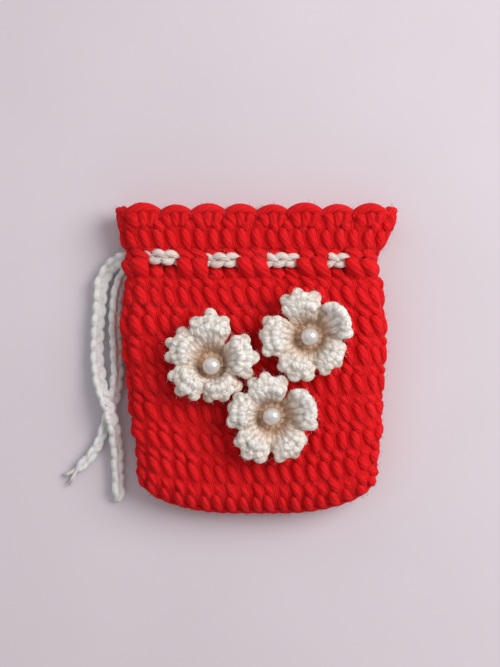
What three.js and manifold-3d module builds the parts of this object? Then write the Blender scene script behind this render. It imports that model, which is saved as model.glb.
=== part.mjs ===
// Crocheted drawstring pouch, lying flat on its back as it is put down on a table.
// Millimetres. +Z is up off the table, +Y points to the mouth and +X to the right of the front.
// The origin lies on the table under the middle of the pouch.
import * as THREE from 'three';
import { ParametricGeometry } from 'three/addons/geometries/ParametricGeometry.js';
import { mergeVertices } from 'three/addons/utils/BufferGeometryUtils.js';
import Module from 'manifold-3d';

const wasm = await Module();
wasm.setup();
const { euclideanModulo, lerp, smoothstep } = THREE.MathUtils;

// Pouch
const BODY_ROUNDS = 8; // plain rounds of double crochet below the cord round
const BELLY_ROUNDS = 6.5; // rounds from the bottom to the widest place
const ROUND_HEIGHT = 9.72;
const EDGE_HEIGHT = 5.6; // shell edge, from the last round to the scallop tips
const MOUTH_WIDTH = 92.4;
const WAIST_WIDTH = 84;
const BELLY_WIDTH = 88.4;
const BASE_WIDTH = 80;
const CORNER_RADIUS = 12;
const POUCH_DEPTH = 16.4;
const MOUTH_DEPTH = 14;
const FABRIC = 3; // thickness of the crocheted wall
const GROOVE = 0.5; // dip between one round and the next
const LIP = 0.8; // rounding of the rim
const SCALLOP_DEPTH = 2;

// Cord round: tall stitches in pairs that bow outward and inward in turn around the cord
const PAIRS = 18;
const POST_HEIGHT = 7.6;
const POST_WIDTH = 2.4;
const POST_THICKNESS = 1.9;
const PAIR_SPACING = 2.6; // between the two posts of a pair
const POST_ROOT = 1; // length of a post that is worked into the fabric

// Drawstring, a crocheted chain
const CORD_DIAMETER = 3.2;
const CORD_SIDES = 8;
const TAIL_STEP_ASIDE = 1.2; // the outer tail leaves the left fold above the inner one
const WEAVE_CLEARANCE = 0.75; // between the cord and the posts that it passes
const CLEARANCE = 0.3;

// Both tails lie on the table beside the left fold, as chosen by eye, from the fold to the bare end
const OUTER_TAIL = [
  [-43.6, 33.4, 5.9], [-46.9, 32.7, 3.4], [-50, 30.6, 2], [-52.8, 25.6, 1.7], [-53.9, 14, 1.7],
  [-54.4, 2.2, 1.7], [-54, -6.4, 2.2], [-52.2, -13, 3.9], [-49.9, -18.4, 5.4], [-48.5, -24.5, 4],
  [-47.8, -31, 2.1], [-47.5, -40, 1.7], [-47.5, -50, 1.7],
];
const INNER_TAIL = [
  [-42.2, 30.5, 3.1], [-45.4, 27.6, 2], [-47.4, 22.6, 1.7], [-48.3, 13, 1.7], [-47.9, 3.9, 1.7],
  [-47.6, -5, 1.7], [-48.5, -13.2, 1.7], [-50.6, -20.1, 1.7], [-53.6, -28.9, 1.7], [-58.3, -36, 1.7],
  [-62.4, -39.2, 1.7], [-65, -43.1, 1.7],
];

// Flowers: five cupped petals with three picots each
const PETALS = 5;
const FLOWER_RADIUS = 15;
const NOTCH_RADIUS = 8.6; // depth of the cut between two petals
const FLOOR_RADIUS = 4.6; // flat middle on which the pearl sits
const CUP_RADIUS = 10.5; // where the petals stop rising
const PETAL_RISE = 5.6;
const TIP_DROOP = 1;
const PETAL_FABRIC = 2.2;
const PICOTS = 3;
const PICOT_DEPTH = 0.9;

// Pearls and the thread that sews each of them and its flower on
const PEARL_DIAMETER = 6;
const BORE_DIAMETER = 1.2;
const THREAD_DIAMETER = 0.6;
const STITCH_HALF = 1.6; // half the distance between the two legs of the stitch
const KNOT_DIAMETER = 2;

// Middle of each flower, the turn of its first petal, and the pearl's place from that middle
const FLOWERS = [
  { place: 'left', x: -14.9, y: -0.5, turn: 78, pearlX: 0.4, pearlY: -2.2 },
  { place: 'right', x: 16.6, y: 7.1, turn: 103, pearlX: 1.2, pearlY: -0.3 },
  { place: 'lower', x: 5.1, y: -19.9, turn: 92, pearlX: 0.2, pearlY: 0.6 },
];

// Places that follow from the sizes above
const EDGE_ROUNDS = BODY_ROUNDS + 2; // with the cord round and the round above it
const POUCH_LENGTH = EDGE_ROUNDS * ROUND_HEIGHT + EDGE_HEIGHT;
const BOTTOM_Y = -POUCH_LENGTH / 2;
const BELLY_Y = BOTTOM_Y + BELLY_ROUNDS * ROUND_HEIGHT;
const CORD_Y = BOTTOM_Y + (BODY_ROUNDS + 0.5) * ROUND_HEIGHT;
const EDGE_Y = BOTTOM_Y + EDGE_ROUNDS * ROUND_HEIGHT;
const RIM_Y = POUCH_LENGTH / 2 - SCALLOP_DEPTH;
const BAND_LOW = CORD_Y - POST_HEIGHT / 2;
const BAND_HIGH = CORD_Y + POST_HEIGHT / 2;
const MID_Z = POUCH_DEPTH / 2;

// The cord and the posts swing to opposite sides of the wall's middle and reach equally far from it
const WEAVE = (POST_THICKNESS + CORD_DIAMETER) / 2 + WEAVE_CLEARANCE;
const CORD_SWING = (WEAVE - (CORD_DIAMETER - POST_THICKNESS) / 2) / 2;
const POST_SWING = WEAVE - CORD_SWING;
const WAIST_HALF_WIDTH = (WAIST_WIDTH - FABRIC) / 2;
const WAIST_HALF_DEPTH = MID_Z - CORD_SWING - CORD_DIAMETER / 2;
const WAIST_ROUND = 4 * (WAIST_HALF_WIDTH - WAIST_HALF_DEPTH) + 2 * Math.PI * WAIST_HALF_DEPTH;

const FLOWER_Z = POUCH_DEPTH + CLEARANCE;
const PEARL_Z = FLOWER_Z + PETAL_FABRIC + CLEARANCE + PEARL_DIAMETER / 2;
const KNOT_Z = POUCH_DEPTH - FABRIC - CLEARANCE - KNOT_DIAMETER / 2;

// Closed solid from a geometry whose seams and poles are merged
function solid(geometry) {
  geometry.deleteAttribute('normal');
  geometry.deleteAttribute('uv');
  const merged = mergeVertices(geometry);
  const corners = merged.index.array;
  const triangles = [];
  for (let i = 0; i < corners.length; i += 3) {
    const [a, b, c] = corners.slice(i, i + 3);
    if (a !== b && b !== c && c !== a) triangles.push(a, b, c);
  }
  return new wasm.Manifold(new wasm.Mesh({
    numProp: 3,
    vertProperties: new Float32Array(merged.attributes.position.array),
    triVerts: new Uint32Array(triangles),
  }));
}

function namedMesh(name, shape, material) {
  const result = shape.getMesh();
  const geometry = new THREE.BufferGeometry();
  geometry.setAttribute('position', new THREE.BufferAttribute(result.vertProperties, 3));
  geometry.setIndex(new THREE.BufferAttribute(result.triVerts, 1));
  geometry.computeVertexNormals();
  const mesh = new THREE.Mesh(geometry, material);
  mesh.name = name;
  return mesh;
}

// Point and outward direction on a flattened ring, a share of the way round from the middle of the front
function ringPoint(share, halfWidth, halfDepth) {
  const straight = halfWidth - halfDepth;
  const fold = Math.PI * halfDepth;
  let along = euclideanModulo(share, 1) * (4 * straight + 2 * fold);
  if (along <= straight) return { x: along, z: halfDepth, nx: 0, nz: 1 };
  along -= straight;
  if (along <= fold) {
    const turn = along / halfDepth;
    const nx = Math.sin(turn);
    const nz = Math.cos(turn);
    return { x: straight + halfDepth * nx, z: halfDepth * nz, nx, nz };
  }
  along -= fold;
  if (along <= 2 * straight) return { x: straight - along, z: -halfDepth, nx: 0, nz: -1 };
  along -= 2 * straight;
  if (along <= fold) {
    const turn = along / halfDepth;
    const nx = -Math.sin(turn);
    const nz = -Math.cos(turn);
    return { x: -straight + halfDepth * nx, z: halfDepth * nz, nx, nz };
  }
  return { x: along - fold - straight, z: halfDepth, nx: 0, nz: 1 };
}

// Half width of the pouch at a height, a wall's inset from the outside, with rounded bottom corners
function halfWidthAt(y, inset) {
  const belly = lerp(BASE_WIDTH, BELLY_WIDTH, smoothstep(y, BOTTOM_Y + CORNER_RADIUS, BELLY_Y));
  const waist = lerp(belly, WAIST_WIDTH, smoothstep(y, BELLY_Y, BAND_LOW - POST_ROOT));
  const width = lerp(waist, MOUTH_WIDTH, smoothstep(y, BAND_HIGH + POST_ROOT, EDGE_Y));
  return width / 2 - inset - roundOff(CORNER_RADIUS, inset, y);
}

// Half depth at a height: full at the belly, drawn in at the cord, closed in a round fold at the bottom
function halfDepthAt(y, inset) {
  const waist = lerp(MID_Z, WAIST_HALF_DEPTH + FABRIC / 2, smoothstep(y, BELLY_Y, BAND_LOW - POST_ROOT));
  const depth = lerp(waist, MOUTH_DEPTH / 2, smoothstep(y, BAND_HIGH + POST_ROOT, EDGE_Y));
  return depth - inset - roundOff(MID_Z, inset, y);
}

// How far a rounding of the bottom edge draws in at a height
function roundOff(radius, inset, y) {
  const below = Math.max(0, BOTTOM_Y + radius - y);
  return radius - inset - Math.sqrt(Math.max(0, (radius - inset) ** 2 - below ** 2));
}

// The wall dips where one round meets the next; the underside stays flat on the table
function grooveAt(y) {
  return GROOVE * (1 - Math.abs(Math.sin(Math.PI * (y - BOTTOM_Y) / ROUND_HEIGHT)));
}

function station(y, inset, groove = 0, lift = 0) {
  const width = halfWidthAt(y, inset) - groove;
  return { y, width, depth: halfDepthAt(y, inset), groove, lift };
}

function scallop(share) {
  const across = euclideanModulo(share * PAIRS, 1) * 2 - 1;
  return SCALLOP_DEPTH * Math.sqrt(Math.max(0, 1 - across ** 2));
}

// Solid lofted through flattened rings, each end closed along a line in its middle
function loft(stations, columns) {
  const closing = (end) => ({ ...end, width: end.width - end.depth, depth: 0, groove: 0, lift: 0 });
  const rings = [closing(stations[0]), ...stations, closing(stations.at(-1))];
  const last = rings.length - 1;
  const place = (u, v, target) => {
    const ring = rings[Math.round(v * last)];
    const point = ringPoint(u, ring.width, ring.depth);
    const dip = Math.max(0, point.nz) * ring.groove;
    target.set(point.x, ring.y + ring.lift * scallop(u), MID_Z + point.z - dip);
  };
  return solid(new ParametricGeometry(place, columns, last));
}

function heights(from, to, steps) {
  return Array.from({ length: steps + 1 }, (_, i) => lerp(from, to, i / steps));
}

// Lower part of the pouch: bottom fold and plain rounds up to the cord round
function lowerWall() {
  const columns = 44;
  const curl = [0, 0.1, 0.4].map((share) => BOTTOM_Y + share * MID_Z);
  const rounds = heights(BOTTOM_Y + ROUND_HEIGHT, BAND_LOW, (BODY_ROUNDS - 1) * 3);
  const outside = [...curl, ...rounds].map((y) => station(y, 0, grooveAt(y)));
  const hollowBottom = BOTTOM_Y + FABRIC;
  const hollowCurl = [0.05, 0.3, 0.8].map((share) => hollowBottom + share * (MID_Z - FABRIC));
  const hollow = [...hollowCurl, ...heights(BOTTOM_Y + CORNER_RADIUS, BAND_LOW + FABRIC, 6)];
  const inside = hollow.map((y) => station(y, FABRIC));
  return loft(outside, columns).subtract(loft(inside, columns));
}

// Upper part: one plain round and the scalloped shell edge around the open mouth
function upperWall() {
  const columns = PAIRS * 4;
  const lipStart = RIM_Y - LIP;
  const fan = (y) => smoothstep(y, EDGE_Y, lipStart);
  const outside = heights(BAND_HIGH, lipStart, 5).map((y) => station(y, 0, 0, fan(y)));
  outside.push(station(RIM_Y, LIP, 0, 1), station(RIM_Y, FABRIC + LIP, 0, 1));
  const inside = heights(BAND_HIGH - FABRIC, POUCH_LENGTH / 2 + FABRIC, 4).map((y) => station(y, FABRIC));
  return loft(outside, columns).subtract(loft(inside, columns));
}

// One post of a pair, bowed outward in front of the cord or inward behind it
function cordPost(index, aside) {
  const section = new THREE.Shape();
  section.absellipse(0, 0, POST_WIDTH / 2, POST_THICKNESS / 2, 0, 2 * Math.PI);
  const length = POST_HEIGHT + 2 * POST_ROOT;
  const geometry = new THREE.ExtrudeGeometry(section, {
    depth: length, steps: 6, curveSegments: 3, bevelEnabled: false,
  });
  const swing = index % 2 === 0 ? POST_SWING : -POST_SWING;
  const position = geometry.attributes.position;
  for (let i = 0; i < position.count; i++) {
    const fromMiddle = Math.min(Math.abs(position.getZ(i) - length / 2) / POST_HEIGHT, 0.5);
    position.setY(i, position.getY(i) + swing * Math.cos(Math.PI * fromMiddle) ** 2);
  }
  const seat = ringPoint(index / PAIRS + aside / WAIST_ROUND, WAIST_HALF_WIDTH, WAIST_HALF_DEPTH);
  const outward = new THREE.Vector3(seat.nx, 0, seat.nz);
  const upward = new THREE.Vector3(0, 1, 0);
  const sideways = new THREE.Vector3().crossVectors(outward, upward);
  const frame = new THREE.Matrix4().makeBasis(sideways, outward, upward);
  frame.setPosition(seat.x, BAND_LOW - POST_ROOT, MID_Z + seat.z);
  return solid(geometry.applyMatrix4(frame));
}

// Round hole along Z for a leg of the sewing stitch
function stitchHole(x, y, low, high) {
  const hole = new THREE.CylinderGeometry(BORE_DIAMETER / 2, BORE_DIAMETER / 2, high - low, 8);
  hole.rotateX(Math.PI / 2);
  hole.translate(x, y, (low + high) / 2);
  return solid(hole);
}

function cutStitchHoles(shape, flower, low, high) {
  const x = flower.x + flower.pearlX;
  const y = flower.y + flower.pearlY;
  const left = stitchHole(x - STITCH_HALF, y, low, high);
  const right = stitchHole(x + STITCH_HALF, y, low, high);
  return shape.subtract(left).subtract(right);
}

function pouchBody() {
  let body = lowerWall().add(upperWall());
  for (let i = 0; i < PAIRS; i++) {
    body = body.add(cordPost(i, -PAIR_SPACING / 2)).add(cordPost(i, PAIR_SPACING / 2));
  }
  for (const flower of FLOWERS) body = cutStitchHoles(body, flower, KNOT_Z, FLOWER_Z);
  return body;
}

// Tube whose steps follow the points of its route
function tube(points, diameter, sides) {
  const route = new THREE.CatmullRomCurve3(points);
  route.getUtoTmapping = (share) => share;
  const section = new THREE.Shape();
  for (let i = 0; i < sides; i++) {
    const turn = 2 * Math.PI * i / sides;
    const corner = [diameter / 2 * Math.cos(turn), diameter / 2 * Math.sin(turn)];
    if (i === 0) section.moveTo(...corner);
    else section.lineTo(...corner);
  }
  section.closePath();
  return solid(new THREE.ExtrudeGeometry(section, { steps: points.length - 1, extrudePath: route }));
}

// The drawstring goes behind every even pair and over every odd one, once round from the left fold
function drawstring() {
  const firstPair = -4;
  const lastPair = 13;
  const stepsPerPair = 3;
  const passes = [firstPair - 0.5];
  for (let i = 0; i <= (lastPair - firstPair) * stepsPerPair; i++) passes.push(firstPair + i / stepsPerPair);
  const woven = passes.map((pass) => {
    const seat = ringPoint(pass / PAIRS, WAIST_HALF_WIDTH, WAIST_HALF_DEPTH);
    const slack = pass === lastPair ? CLEARANCE : 0; // the inner tail stands off the post that it leaves
    const swing = slack - CORD_SWING * Math.cos(Math.PI * pass);
    const aside = TAIL_STEP_ASIDE * (1 - smoothstep(pass, firstPair - 0.5, firstPair));
    return [seat.x + swing * seat.nx, CORD_Y + aside, MID_Z + seat.z + swing * seat.nz];
  });
  const route = [...OUTER_TAIL.toReversed(), ...woven, ...INNER_TAIL];
  return tube(route.map((point) => new THREE.Vector3(...point)), CORD_DIAMETER, CORD_SIDES);
}

// Outline of a flower: five round petals, each edged with picots
function flowerRadius(turn) {
  const span = 2 * Math.PI / PETALS;
  const across = euclideanModulo(turn + span / 2, span) / span * 2 - 1;
  const lobe = Math.sqrt(Math.max(0, 1 - across ** 2));
  const picot = PICOT_DEPTH * Math.abs(Math.cos(Math.PI * PICOTS / 2 * across));
  return NOTCH_RADIUS + (FLOWER_RADIUS - PICOT_DEPTH - NOTCH_RADIUS) * lobe + picot;
}

// Underside of a flower: flat middle, then a cup that levels out and droops at the tips
function cupHeight(radius) {
  const rise = PETAL_RISE * smoothstep(radius, FLOOR_RADIUS, CUP_RADIUS);
  return rise - TIP_DROOP * smoothstep(radius, CUP_RADIUS, FLOWER_RADIUS);
}

function flowerCup(flower) {
  const columns = PETALS * PICOTS * 4;
  const outward = [0, 1 / 3, 2 / 3, 1];
  const skins = [
    { middle: true, top: false },
    ...outward.map((share) => ({ share, top: false })),
    ...outward.toReversed().map((share) => ({ share, top: true })),
    { middle: true, top: true },
  ];
  const place = (u, v, target) => {
    const skin = skins[Math.round(v * (skins.length - 1))];
    const turn = u * 2 * Math.PI;
    const radius = skin.middle ? 0 : lerp(FLOOR_RADIUS, flowerRadius(turn), skin.share);
    const slope = (cupHeight(radius + 0.1) - cupHeight(radius - 0.1)) / 0.2;
    const fabric = skin.top ? PETAL_FABRIC * Math.hypot(1, slope) : 0;
    target.set(radius * Math.cos(turn), radius * Math.sin(turn), cupHeight(radius) + fabric);
  };
  const geometry = new ParametricGeometry(place, columns, skins.length - 1);
  geometry.rotateZ(THREE.MathUtils.degToRad(flower.turn));
  geometry.translate(flower.x, flower.y, FLOWER_Z);
  return cutStitchHoles(solid(geometry), flower, KNOT_Z, PEARL_Z);
}

function atPearl(geometry, flower) {
  return geometry.translate(flower.x + flower.pearlX, flower.y + flower.pearlY, PEARL_Z);
}

// Round bead, bored along X
function pearl(flower) {
  const ball = new THREE.SphereGeometry(PEARL_DIAMETER / 2, 16, 10);
  const bore = new THREE.CylinderGeometry(BORE_DIAMETER / 2, BORE_DIAMETER / 2, 2 * PEARL_DIAMETER, 8);
  bore.rotateZ(Math.PI / 2);
  return solid(atPearl(ball, flower)).subtract(solid(atPearl(bore, flower)));
}

// One stitch: up through wall and flower, around the pearl, through its bore and down again to a knot inside
function sewingThread(flower) {
  const hug = (PEARL_DIAMETER + THREAD_DIAMETER) / 2 + CLEARANCE;
  const around = [-55, -40, -25, -12].map((degrees) => {
    const turn = THREE.MathUtils.degToRad(degrees);
    return [hug * Math.cos(turn), hug * Math.sin(turn)];
  });
  const rightLeg = [
    [STITCH_HALF, KNOT_Z - PEARL_Z + KNOT_DIAMETER / 4],
    [STITCH_HALF, FLOWER_Z - PEARL_Z],
    [STITCH_HALF, FLOWER_Z + PETAL_FABRIC - PEARL_Z],
    ...around,
    [hug - THREAD_DIAMETER / 2, 0],
    [hug - 3 * THREAD_DIAMETER, 0],
  ];
  const knotEnd = [0, KNOT_Z - PEARL_Z];
  const leftLeg = rightLeg.toReversed().map(([x, z]) => [-x, z]);
  const loop = [knotEnd, ...rightLeg, [0, 0], ...leftLeg, [-THREAD_DIAMETER, knotEnd[1]]];
  const x = flower.x + flower.pearlX;
  const y = flower.y + flower.pearlY;
  const route = loop.map(([across, up]) => new THREE.Vector3(x + across, y, PEARL_Z + up));
  const knot = new THREE.SphereGeometry(KNOT_DIAMETER / 2, 10, 6).scale(1.5, 1, 1).translate(x, y, KNOT_Z);
  return tube(route, THREAD_DIAMETER, 5).add(solid(knot));
}

// Materials as seen in daylight
const redYarn = new THREE.MeshStandardMaterial({ color: 0xc8141c, roughness: 0.92, metalness: 0 });
const creamYarn = new THREE.MeshStandardMaterial({ color: 0xeae2d6, roughness: 0.92, metalness: 0 });
const pearlShell = new THREE.MeshStandardMaterial({ color: 0xece6e2, roughness: 0.22, metalness: 0 });
const creamThread = new THREE.MeshStandardMaterial({ color: 0xe6dccb, roughness: 0.7, metalness: 0 });

const pouch = new THREE.Group();
pouch.add(namedMesh('pouch_body', pouchBody(), redYarn));
pouch.add(namedMesh('drawstring', drawstring(), creamYarn));
for (const flower of FLOWERS) {
  pouch.add(namedMesh(`flower_${flower.place}`, flowerCup(flower), creamYarn));
  pouch.add(namedMesh(`pearl_${flower.place}`, pearl(flower), pearlShell));
  pouch.add(namedMesh(`sewing_thread_${flower.place}`, sewingThread(flower), creamThread));
}

export default pouch;
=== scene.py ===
"""Looks of a crocheted drawstring pouch, worked stitch by stitch on its CAD frame."""

import math

import bpy
import numpy as np
from mathutils import Matrix, Vector


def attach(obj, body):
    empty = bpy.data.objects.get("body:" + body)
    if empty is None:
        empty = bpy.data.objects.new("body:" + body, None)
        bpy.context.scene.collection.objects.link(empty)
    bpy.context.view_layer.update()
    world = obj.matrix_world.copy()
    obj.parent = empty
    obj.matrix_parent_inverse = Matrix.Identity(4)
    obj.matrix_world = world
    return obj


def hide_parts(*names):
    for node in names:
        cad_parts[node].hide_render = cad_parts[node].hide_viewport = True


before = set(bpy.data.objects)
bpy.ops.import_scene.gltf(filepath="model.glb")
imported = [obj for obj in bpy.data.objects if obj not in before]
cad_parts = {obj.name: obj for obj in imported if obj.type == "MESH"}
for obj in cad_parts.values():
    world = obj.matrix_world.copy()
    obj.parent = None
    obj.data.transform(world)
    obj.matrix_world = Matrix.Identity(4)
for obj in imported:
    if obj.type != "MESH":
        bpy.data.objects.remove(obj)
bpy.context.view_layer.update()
scene = bpy.context.scene

# Sizes in millimetres, as in the CAD source
MILLIMETRE = 0.001
ROUND_HEIGHT = 9.72
BODY_ROUNDS = 8
EDGE_ROUNDS = BODY_ROUNDS + 2
EDGE_HEIGHT = 5.6
POUCH_LENGTH = EDGE_ROUNDS * ROUND_HEIGHT + EDGE_HEIGHT
BOTTOM_Y = -POUCH_LENGTH / 2
BELLY_Y = BOTTOM_Y + 6.5 * ROUND_HEIGHT
CORD_Y = BOTTOM_Y + (BODY_ROUNDS + 0.5) * ROUND_HEIGHT
EDGE_Y = BOTTOM_Y + EDGE_ROUNDS * ROUND_HEIGHT
MOUTH_WIDTH, WAIST_WIDTH, BELLY_WIDTH, BASE_WIDTH = 92.4, 84, 88.4, 80
CORNER_RADIUS = 12
POUCH_DEPTH, MOUTH_DEPTH = 16.4, 14
MID_Z = POUCH_DEPTH / 2
FABRIC = 3
PAIRS = 18
POST_HEIGHT = 7.6
CORD_DIAMETER = 3.2
CORD_SWING, POST_SWING = 1.325, 1.975
WAIST_HALF_WIDTH = (WAIST_WIDTH - FABRIC) / 2
WAIST_HALF_DEPTH = MID_Z - CORD_SWING - CORD_DIAMETER / 2
FLOWER_Z = POUCH_DEPTH + 0.3
PEARL_DIAMETER, PEARL_BORE, PEARL_LIFT = 6, 1.1, 2.5
PEARL_Z = FLOWER_Z + PEARL_LIFT + PEARL_DIAMETER / 2

# How the soft pouch settles: lifted corners, sagging bottom edge, spread sides
CORNER_WIDTH, CORNER_HEIGHT = 31, 12.5
CORNER_ROUNDS = 4.5  # number of rounds up in which the lift of the corners fades
SAG = 1.3
SPREAD, SHIFT = 1.022, 0.4
SWELLS = [(25, 4, 1.2), (37, 3, 1.3), (-24, 7, 1.1)]  # height, reach up and down, how far it stands out
PRESS = 0.3  # height under which yarn is pressed flat on the table

# Stitches
STITCHES = 40
STITCH_WIDTH = 4.63
AROUND = STITCHES * STITCH_WIDTH
PAIR_STEP = AROUND / PAIRS
ROW_SHIFT = 0.13  # share of a stitch that each round starts further on
TWIST = 17  # length of yarn in which its plies go once round
PLIES = 6
DRAWN = {4: -3.8}  # pairs of stitches pulled aside along the cord round
CORE_DEPTHS = (0.72, -1.2)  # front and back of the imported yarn, from the middle of the wall
CORE_COLUMNS, CORE_LEVELS = 160, 8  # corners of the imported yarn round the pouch, and up a round

# Loose fibres on a square millimetre of yarn; on the pouch they stand away from its middle
RED_FUZZ, WOVEN_FUZZ, TAIL_FUZZ, FLOWER_FUZZ = 0.3, 0.5, 0.6, 1.4
POUCH_MIDDLE, POUCH_OUTWARD = (0, 0, MID_Z), (0.12, 0.05, 1)

# Free tails: route from the left fold to the bare end, degrees that the chain's face is rolled at both ends,
# length of the loose plies, and width of the last links as a share of the first
LINK_LENGTH, LINK_WIDTH = 4.3, 5.2
TAIL_LIFT = 1.3  # the chain is thicker than the plain cord in CAD, so its middle lies higher
TAIL_POINTS, PATH_POINTS = 120, 36
TAILS = {
    "drawstring_outer_tail": {
        "points": [
            (-43.6, 33.4, 5.9), (-46.9, 32.7, 3.4), (-50, 30.6, 2), (-52.8, 25.6, 1.7), (-53.9, 14, 1.7),
            (-54.4, 2.2, 1.7), (-54, -6.4, 2.2), (-52.2, -13, 3.9), (-49.9, -18.4, 5.4), (-48.5, -24.5, 4),
            (-47.8, -31, 2.1), (-47.5, -40, 1.7), (-47.5, -50, 1.7),
        ],
        "roll": (25, 55), "bare": 2.5, "tip": 1.0, "seed": 12,
    },
    "drawstring_inner_tail": {
        "points": [
            (-42.2, 30.5, 3.1), (-45.4, 27.6, 2), (-47.4, 22.6, 1.7), (-48.3, 13, 1.7), (-47.9, 3.9, 1.7),
            (-47.6, -5, 1.7), (-48.5, -13.2, 1.7), (-50.6, -20.1, 1.7), (-53.6, -28.9, 1.7),
            (-58.3, -36, 1.7), (-62.4, -39.2, 1.7), (-65, -43.1, 1.7),
        ],
        "roll": (45, 35), "bare": 6.5, "tip": 0.72, "seed": 13,
    },
}

# Flowers: middle, pearl, and for each petal its direction, its reach, its half spread in degrees, its rise
# and the distance from the middle at which its wall stops rising
PETAL_ROOT, PETAL_SIDE, PETAL_INSET = 5.4, 7.6, 1.6
FLOWERS = {
    "left": {
        "middle": (-14.9, -0.5), "pearl": (-14.5, -2.7),
        "petals": [(90, 15.6, 40, 5.8, 8.8), (158, 15.0, 36, 5.2, 8.2), (224, 15.4, 36, 5.6, 8.4),
                   (290, 14.8, 37, 5, 8.2), (6, 15.4, 42, 6.0, 8.6)],
    },
    "right": {
        "middle": (16.6, 7.1), "pearl": (17.8, 6.8),
        "petals": [(100, 15.4, 39, 5.6, 8.8), (27, 15.8, 38, 6.2, 12.4), (-39, 15.0, 36, 5.2, 9.4),
                   (-108, 15.2, 37, 5.2, 8.8), (180, 15.6, 40, 5.8, 8.6)],
    },
    "lower": {
        "middle": (5.1, -19.9), "pearl": (5.3, -19.3),
        "petals": [(97, 14.8, 40, 5.8, 8.4), (16, 15.8, 42, 5.8, 11.4), (-55, 15.4, 36, 5.2, 9.2),
                   (-125, 15.6, 36, 5.4, 8.6), (166, 14.8, 36, 5.8, 8.4)],
    },
}

# View from straight above, and daylight: place and size of each lamp in metres, power in watts, tone
CAMERA_PLACE = (-1.84, 7.87, 450)
SENSOR = 24
VIEW_DISTANCE, VIEW_HEIGHT = 437, 223.4
TABLE_HALF = 1500
LAMPS = [
    ("window", (0.57, 0.26, 0.61), 0.65, 6.6, (1.0, 0.985, 0.965)),
    ("fill", (-0.35, 0.5, 0.7), 1.6, 1.8, (0.97, 0.98, 1.0)),
]
LAMP_TARGET = (0, 0, 0.01)
ROOM_TONE, ROOM_LIGHT = (1, 0.99, 0.985, 1), 0.36


class Wire:
    """A node's output in a tree; its operators add maths nodes, and add() any other node."""

    def __init__(self, tree, socket=None):
        self.tree = tree
        self.socket = socket

    def add(self, kind, settings=None, values=None, output=0):
        node = self.tree.nodes.new(kind)
        for name, value in (settings or {}).items():
            setattr(node, name, value)
        for key, value in (values or {}).items():
            if isinstance(value, Wire):
                self.tree.links.new(value.socket, node.inputs[key])
            else:
                node.inputs[key].default_value = value
        return Wire(self.tree, node.outputs[output] if node.outputs else None)

    def out(self, name):
        return Wire(self.tree, self.socket.node.outputs[name])

    def maths(self, operation, *values):
        return self.add("ShaderNodeMath", {"operation": operation}, dict(enumerate(values)))

    def vector(self, operation, *values):
        return self.add("ShaderNodeVectorMath", {"operation": operation}, dict(enumerate(values)))

    def scaled(self, factor):
        return self.add("ShaderNodeVectorMath", {"operation": "SCALE"}, {0: self, "Scale": factor})

    def mix(self, factor, first, second):
        return self.add("ShaderNodeMix", {"data_type": "RGBA"}, {0: factor, 6: first, 7: second}, 2)

    def noise(self, place, scale, detail):
        return self.add("ShaderNodeTexNoise", values={"Vector": place, "Scale": scale, "Detail": detail})

    def bump(self, strength, distance, height):
        return self.add("ShaderNodeBump", values={
            "Strength": strength, "Distance": distance * MILLIMETRE, "Height": height,
        })

    def chance(self, low, high, seed):
        """A chance value between two numbers, or a chance vector between two vectors."""
        if isinstance(low, tuple):
            return self.add("FunctionNodeRandomValue", {"data_type": "FLOAT_VECTOR"},
                            {0: low, 1: high, "Seed": seed})
        return self.add("FunctionNodeRandomValue", {"data_type": "FLOAT"}, {2: low, 3: high, "Seed": seed}, 1)

    def attribute(self, name):
        return self.add("GeometryNodeInputNamedAttribute", {"data_type": "FLOAT_VECTOR"}, {"Name": name})

    def shape_of(self, piece):
        info = self.add("GeometryNodeObjectInfo", {"transform_space": "ORIGINAL"}, {"Object": piece})
        return info.out("Geometry")

    def __add__(self, other):
        return self.maths("ADD", self, other)

    def __sub__(self, other):
        return self.maths("SUBTRACT", self, other)

    def __rsub__(self, other):
        return self.maths("SUBTRACT", other, self)

    def __mul__(self, other):
        return self.maths("MULTIPLY", self, other)

    __radd__ = __add__
    __rmul__ = __mul__


def new_material(name):
    """An empty material and the start of its tree."""
    material = bpy.data.materials.new(name)
    material.use_nodes = True
    material.node_tree.nodes.clear()
    return material, Wire(material.node_tree)


def finish_material(start, values):
    """Ends a material's tree with a shader of the given values."""
    shader = start.add("ShaderNodeBsdfPrincipled", values=values)
    start.add("ShaderNodeOutputMaterial", values={"Surface": shader})


def colour(red, green, blue):
    """Linear colour of a colour given as it looks on a screen, 0 to 255."""
    steps = [channel / 255 for channel in (red, green, blue)]
    return tuple(c / 12.92 if c <= 0.04045 else ((c + 0.055) / 1.055) ** 2.4 for c in steps) + (1,)


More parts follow.
